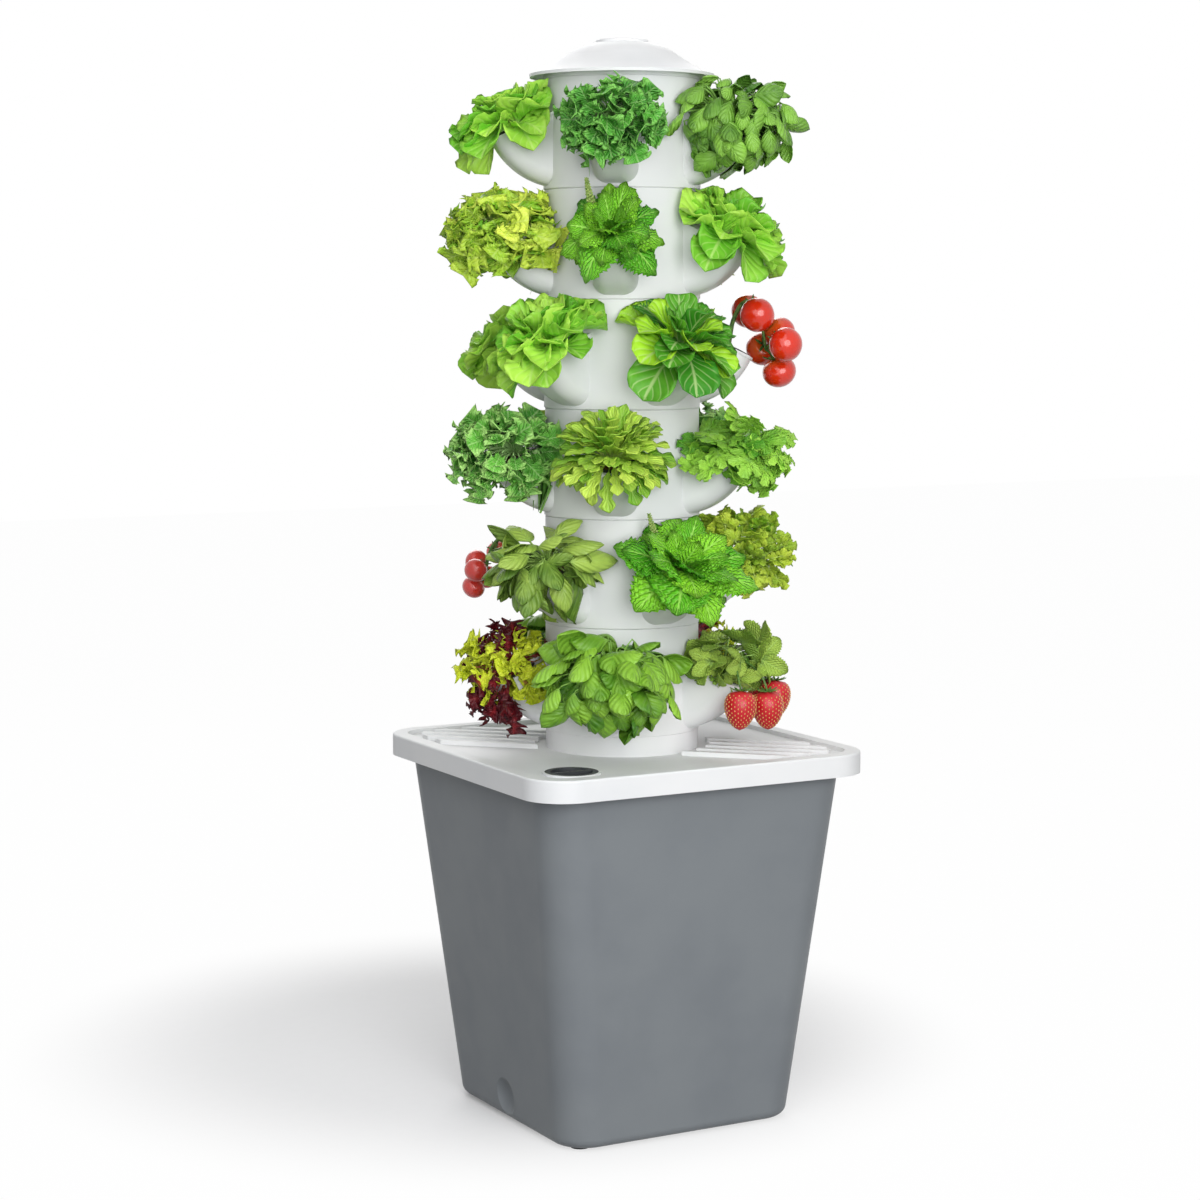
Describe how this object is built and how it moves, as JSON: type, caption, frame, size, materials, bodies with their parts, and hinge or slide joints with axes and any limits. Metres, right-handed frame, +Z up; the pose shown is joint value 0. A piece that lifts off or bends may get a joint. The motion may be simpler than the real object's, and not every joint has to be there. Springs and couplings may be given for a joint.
{
  "type": "hydroponic tower",
  "caption": "Free-standing planted column of stacked swivelling tiers with angled pockets, on a lidded water tub with a pump inside; lid, stopper and cap lift off.",
  "frame": {"origin": "on the floor under the axis of the column, at the middle of the tub", "axes": "+Z up along the column; X and Y along the sides of the lid, with the fill port at the -X -Y corner and the dished boss on the -X wall"},
  "size_m": [0.428, 0.428, 1.2425],
  "materials": {
    "basil_green": "glossy leaf",
    "coriander_green": "cut leaf",
    "dial_orange": "satin",
    "foot_rubber": "matte",
    "frilly_green": "frilled leaf",
    "grow_plug": "fibrous",
    "kale_green": "curled leaf",
    "lettuce_green": "soft leaf",
    "mint_green": "veined leaf",
    "net_cup_black": "satin",
    "pak_choi_green": "smooth leaf",
    "parsley_green": "cut leaf",
    "pipe_white": "smooth",
    "pump_black": "satin",
    "red_lettuce": "frilled leaf",
    "rocket_green": "lobed leaf",
    "steel": "ground",
    "stopper_grey": "satin",
    "strawberry_green": "toothed leaf, red fruit",
    "tomato_red": "glossy fruit skin",
    "tub_grey": "fine satin mould texture",
    "white_plastic": "smooth satin white"
  },
  "bodies": {
    "reservoir": {"reservoir_tub": "tub_grey", "tub_feet": "foot_rubber", "pump_housing": "pump_black", "pump_strainer": "pump_black", "impeller_shaft": "steel", "pump_suction_cups": "foot_rubber", "pump_outlet": "pump_black", "riser_pipes": "pipe_white", "riser_coupler": "pipe_white", "spray_head": "pipe_white"},
    "impeller": {"pump_impeller": "pump_black"},
    "dial": {"flow_dial": "dial_orange"},
    "lid": {"reservoir_lid": "white_plastic", "tower_socket": "white_plastic"},
    "stopper": {"fill_cap": "stopper_grey"},
    "cap": {"tower_cap": "white_plastic"},
    "tier_1": {"tier_1_basil": "basil_green", "tier_1_body": "white_plastic", "tier_1_grow_plugs": "grow_plug", "tier_1_kale": "kale_green", "tier_1_lettuce": "lettuce_green", "tier_1_net_cups": "net_cup_black", "tier_1_pockets": "white_plastic", "drip_tray": "white_plastic"},
    "tier_2": {"tier_2_body": "white_plastic", "tier_2_butter_lettuce": "lettuce_green", "tier_2_frilly_lettuce": "frilly_green", "tier_2_grow_plugs": "grow_plug", "tier_2_mint": "mint_green", "tier_2_net_cups": "net_cup_black", "tier_2_pockets": "white_plastic"},
    "tier_3": {"tier_3_body": "white_plastic", "tier_3_grow_plugs": "grow_plug", "tier_3_lettuce": "lettuce_green", "tier_3_net_cups": "net_cup_black", "tier_3_pak_choi": "pak_choi_green", "tier_3_pockets": "white_plastic", "tier_3_tomatoes": "tomato_red"},
    "tier_4": {"tier_4_body": "white_plastic", "tier_4_curly_kale": "kale_green", "tier_4_grow_plugs": "grow_plug", "tier_4_net_cups": "net_cup_black", "tier_4_parsley": "parsley_green", "tier_4_pockets": "white_plastic", "tier_4_rocket": "rocket_green"},
    "tier_5": {"tier_5_basil": "basil_green", "tier_5_body": "white_plastic", "tier_5_cherry_tomatoes": "tomato_red", "tier_5_coriander": "coriander_green", "tier_5_grow_plugs": "grow_plug", "tier_5_mint": "mint_green", "tier_5_net_cups": "net_cup_black", "tier_5_pockets": "white_plastic"},
    "tier_6": {"tier_6_basil": "basil_green", "tier_6_body": "white_plastic", "tier_6_grow_plugs": "grow_plug", "tier_6_net_cups": "net_cup_black", "tier_6_pockets": "white_plastic", "tier_6_red_lettuce": "red_lettuce", "tier_6_strawberry_plant": "strawberry_green"}
  },
  "joints": [
    {"name": "lid_lift", "type": "slide", "parent": "reservoir", "child": "lid", "axis": [0, 0, 1], "range_m": [0, 0.1]},
    {"name": "stopper_lift", "type": "slide", "parent": "lid", "child": "stopper", "axis": [0, 0, 1], "range_m": [0, 0.025]},
    {"name": "tier_6_turn", "type": "hinge", "parent": "lid", "child": "tier_6", "pos_m": [0, 0, 0.4535], "axis": [0, 0, 1], "continuous": true},
    {"name": "tier_5_turn", "type": "hinge", "parent": "tier_6", "child": "tier_5", "pos_m": [0, 0, 0.5775], "axis": [0, 0, 1], "continuous": true},
    {"name": "tier_4_turn", "type": "hinge", "parent": "tier_5", "child": "tier_4", "pos_m": [0, 0, 0.7015], "axis": [0, 0, 1], "continuous": true},
    {"name": "tier_3_turn", "type": "hinge", "parent": "tier_4", "child": "tier_3", "pos_m": [0, 0, 0.8255], "axis": [0, 0, 1], "continuous": true},
    {"name": "tier_2_turn", "type": "hinge", "parent": "tier_3", "child": "tier_2", "pos_m": [0, 0, 0.9495], "axis": [0, 0, 1], "continuous": true},
    {"name": "tier_1_turn", "type": "hinge", "parent": "tier_2", "child": "tier_1", "pos_m": [0, 0, 1.0735], "axis": [0, 0, 1], "continuous": true},
    {"name": "cap_lift", "type": "slide", "parent": "tier_1", "child": "cap", "axis": [0, 0, 1], "range_m": [0, 0.1]},
    {"name": "impeller_spin", "type": "hinge", "parent": "reservoir", "child": "impeller", "pos_m": [-0.05, 0, 0.0385], "axis": [1, 0, 0], "continuous": true},
    {"name": "dial_turn", "type": "hinge", "parent": "reservoir", "child": "dial", "pos_m": [0, -0.034, 0.0385], "axis": [0, -1, 0], "range_deg": [0, 90]}
  ]
}
